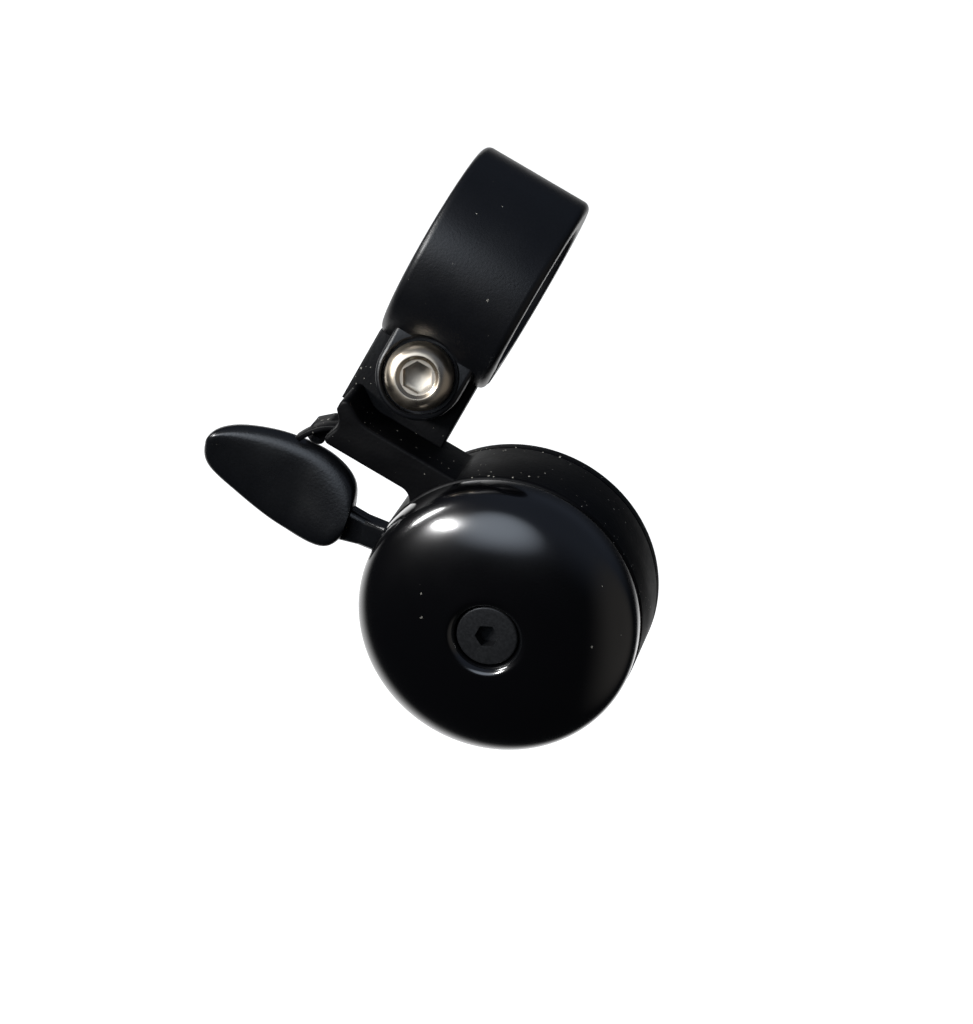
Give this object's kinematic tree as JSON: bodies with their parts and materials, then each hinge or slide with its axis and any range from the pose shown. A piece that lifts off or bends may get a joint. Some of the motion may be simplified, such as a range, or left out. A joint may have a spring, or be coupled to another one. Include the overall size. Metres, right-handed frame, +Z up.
{
  "type": "bicycle bell",
  "caption": "Thumb-lever bicycle bell: domed gong over a round housing on an arm, clamped to the handlebar by a split band, with a geared hammer inside.",
  "frame": {"origin": "on the handlebar's axis, in the middle of the clamp band's width", "axes": "+X along the bar towards the bicycle's middle, +Y away from the rider, +Z up"},
  "size_m": [0.069, 0.0416, 0.072],
  "materials": {
    "black_coated_aluminium": "black fine-grained coating",
    "stainless_steel": "bright turned stainless steel",
    "zinc_plated_steel": "bright zinc plate",
    "black_moulded_nylon": "black moulding with a fine grain",
    "satin_black_plastic": "satin black moulding with a fine grain",
    "black_enamelled_steel": "gloss black enamel",
    "black_oxide_steel": "black oxide",
    "spring_steel": "drawn spring steel",
    "brass": "turned brass",
    "black_rubber": "matt black rubber"
  },
  "bodies": {
    "base": {"clamp_band": "black_coated_aluminium", "clamp_bolt": "stainless_steel", "clamp_washer": "stainless_steel", "clamp_nut": "zinc_plated_steel", "housing_arm": "black_moulded_nylon", "back_cover": "black_moulded_nylon", "cover_screw_1": "zinc_plated_steel", "cover_screw_2": "zinc_plated_steel", "cover_screw_3": "zinc_plated_steel", "gong_post": "zinc_plated_steel", "post_screw": "zinc_plated_steel", "isolator_washer": "black_rubber", "bell_dome": "black_enamelled_steel", "gong_screw": "black_oxide_steel", "stop_bumper": "black_rubber", "lever_pin": "zinc_plated_steel", "lever_clip": "spring_steel", "lever_spring": "spring_steel", "hammer_pin": "zinc_plated_steel", "hammer_clip": "spring_steel"},
    "lever": {"thumb_lever": "satin_black_plastic", "lever_bush": "brass"},
    "hammer": {"hammer_pinion": "brass", "hammer_arm": "spring_steel", "hammer_head": "zinc_plated_steel"}
  },
  "joints": [
    {"name": "lever_press", "type": "hinge", "parent": "base", "child": "lever", "pos_m": [0.01332, -0.0105, -0.03622], "axis": [0, -1, 0], "range_deg": [0, 24], "stiffness_Nm_per_rad": 0.04, "springref_deg": -34.38, "deforming": ["lever_spring"]},
    {"name": "hammer_swing", "type": "hinge", "parent": "base", "child": "hammer", "pos_m": [0.0218, -0.0105, -0.04633], "axis": [0, -1, 0], "range_deg": [-48, 0]}
  ],
  "couplings": [
    {"joint": "hammer_swing", "follows": "lever_press", "ratio": -2}
  ]
}
